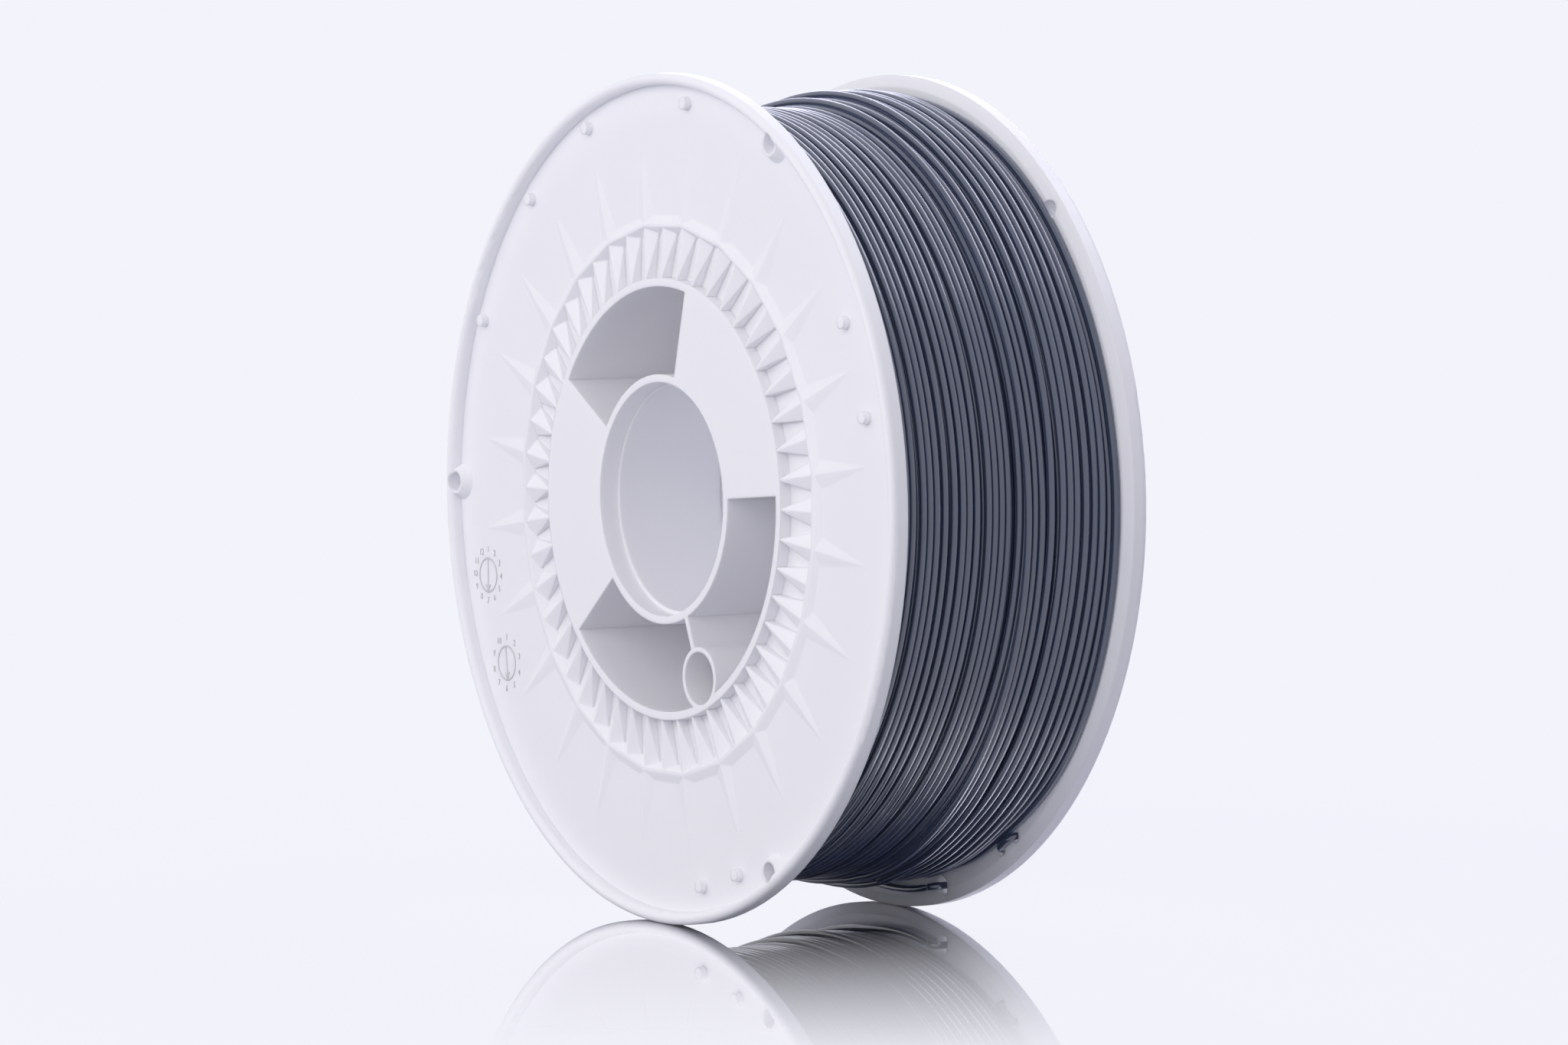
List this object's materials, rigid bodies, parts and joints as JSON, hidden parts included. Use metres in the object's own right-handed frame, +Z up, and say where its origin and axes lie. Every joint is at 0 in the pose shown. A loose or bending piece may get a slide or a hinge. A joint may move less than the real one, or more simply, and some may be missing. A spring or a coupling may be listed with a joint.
{
  "type": "filament spool",
  "caption": "Moulded plastic filament spool with a ribbed hub, spoke windows and parking holes, full of dark grey filament.",
  "frame": {"origin": "middle of the spool: on the bore axis, half way between the two rims", "axes": "+Z up, +Y along the bore axis towards the far flange, +X to the right of someone who looks along +Y; the spool stands on both rims"},
  "size_m": [0.2, 0.0709, 0.2],
  "materials": {
    "spool_plastic": "white injection-moulded plastic, glossy",
    "filament_plastic": "dark slate grey filament, satin"
  },
  "bodies": {
    "root": {"near_half": "spool_plastic", "far_half": "spool_plastic", "filament_core": "filament_plastic", "filament_turns": "filament_plastic"}
  },
  "joints": []
}
